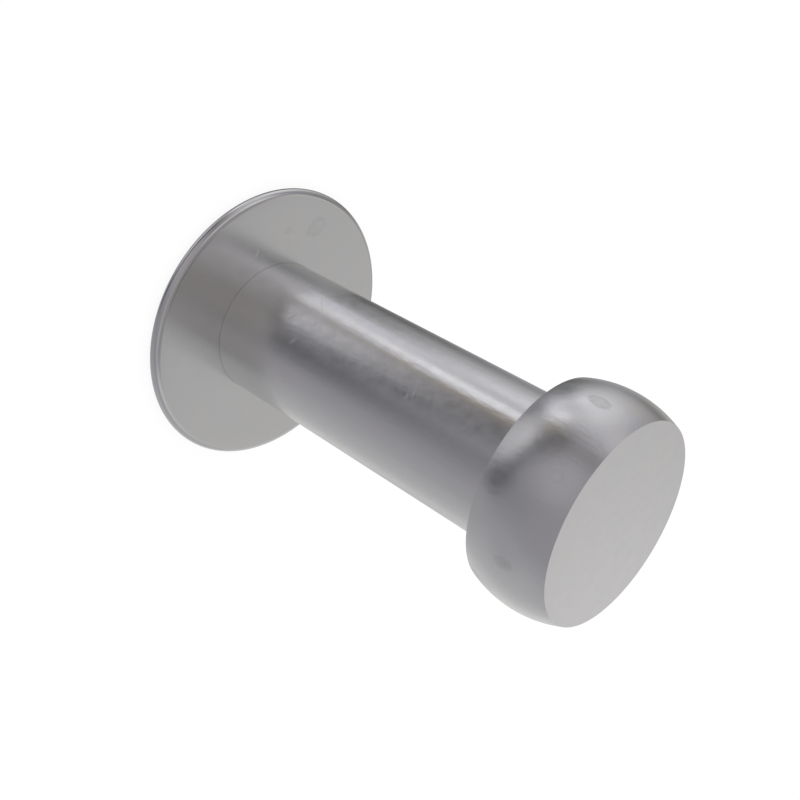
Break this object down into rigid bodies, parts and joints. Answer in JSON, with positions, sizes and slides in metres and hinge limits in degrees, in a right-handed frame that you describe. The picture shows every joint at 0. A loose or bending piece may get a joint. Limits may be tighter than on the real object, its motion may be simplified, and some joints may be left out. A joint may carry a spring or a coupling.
{
  "type": "rivet",
  "caption": "Set solid rivet: thin round flange with a rounded edge, plain round shank, and a barrel-shaped formed head with a flat end, for clamping sheets together.",
  "frame": {"origin": "centre of the flange's flat back face, which the rivet stands on", "axes": "+Z along the rivet's axis, from the flange to the formed head; X and Y are any two square to it"},
  "size_m": [0.01, 0.01, 0.0154],
  "materials": {
    "rivet_metal": "satin grey, plain metal with no coating"
  },
  "bodies": {
    "root": {"rivet": "rivet_metal"}
  },
  "joints": []
}
